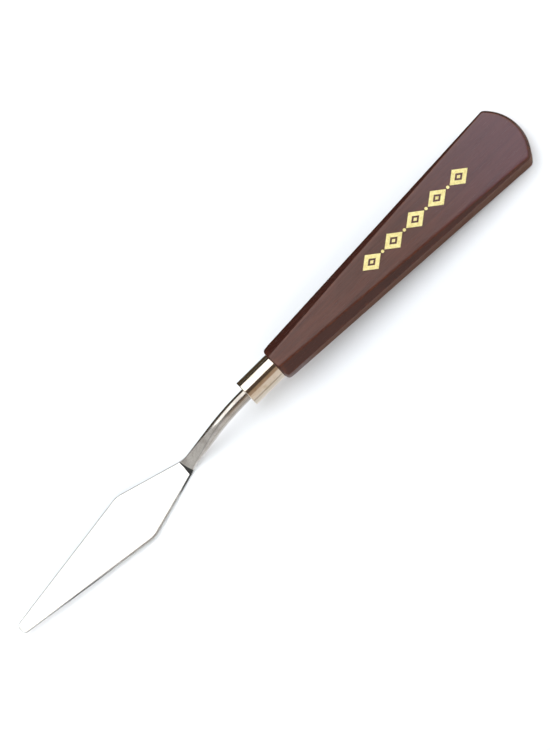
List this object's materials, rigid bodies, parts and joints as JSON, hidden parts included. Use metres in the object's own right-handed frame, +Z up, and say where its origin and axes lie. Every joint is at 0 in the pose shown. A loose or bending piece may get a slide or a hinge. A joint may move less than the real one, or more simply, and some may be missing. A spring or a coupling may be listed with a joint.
{
  "type": "palette knife",
  "caption": "Painting knife with a long diamond blade, a cranked steel neck, a brass ferrule and a bevelled hardwood handle with a rounded butt.",
  "frame": {"origin": "middle of the object's footprint, on the surface it lies on", "axes": "+X from the blade's tip towards the butt of the handle, +Z up; the knife lies on the foot of its neck and the lower edge of its butt, so handle and blade slope together by 3.7 degrees"},
  "size_m": [0.2322, 0.0228, 0.0181],
  "materials": {
    "lacquered_wood": "purplish brown stain under semi-gloss clear lacquer",
    "ferrule_brass": "polished",
    "neck_steel": "polished along its length",
    "adhesive": "cured clear amber resin",
    "blade_steel": "mirror polished, very fine grinding lines across",
    "gold_foil": "hot-stamped pale gold foil"
  },
  "bodies": {
    "handle": {"handle": "lacquered_wood", "ferrule": "ferrule_brass", "neck": "neck_steel", "tang_adhesive": "adhesive", "foil_ornament": "gold_foil"},
    "blade": {"blade": "blade_steel"}
  },
  "joints": [
    {"name": "blade_flex", "type": "hinge", "parent": "handle", "child": "blade", "pos_m": [-0.04071, 0, 0.0006], "axis": [0, 1, 0], "range_deg": [-15, 15], "stiffness_Nm_per_rad": 2.5}
  ]
}
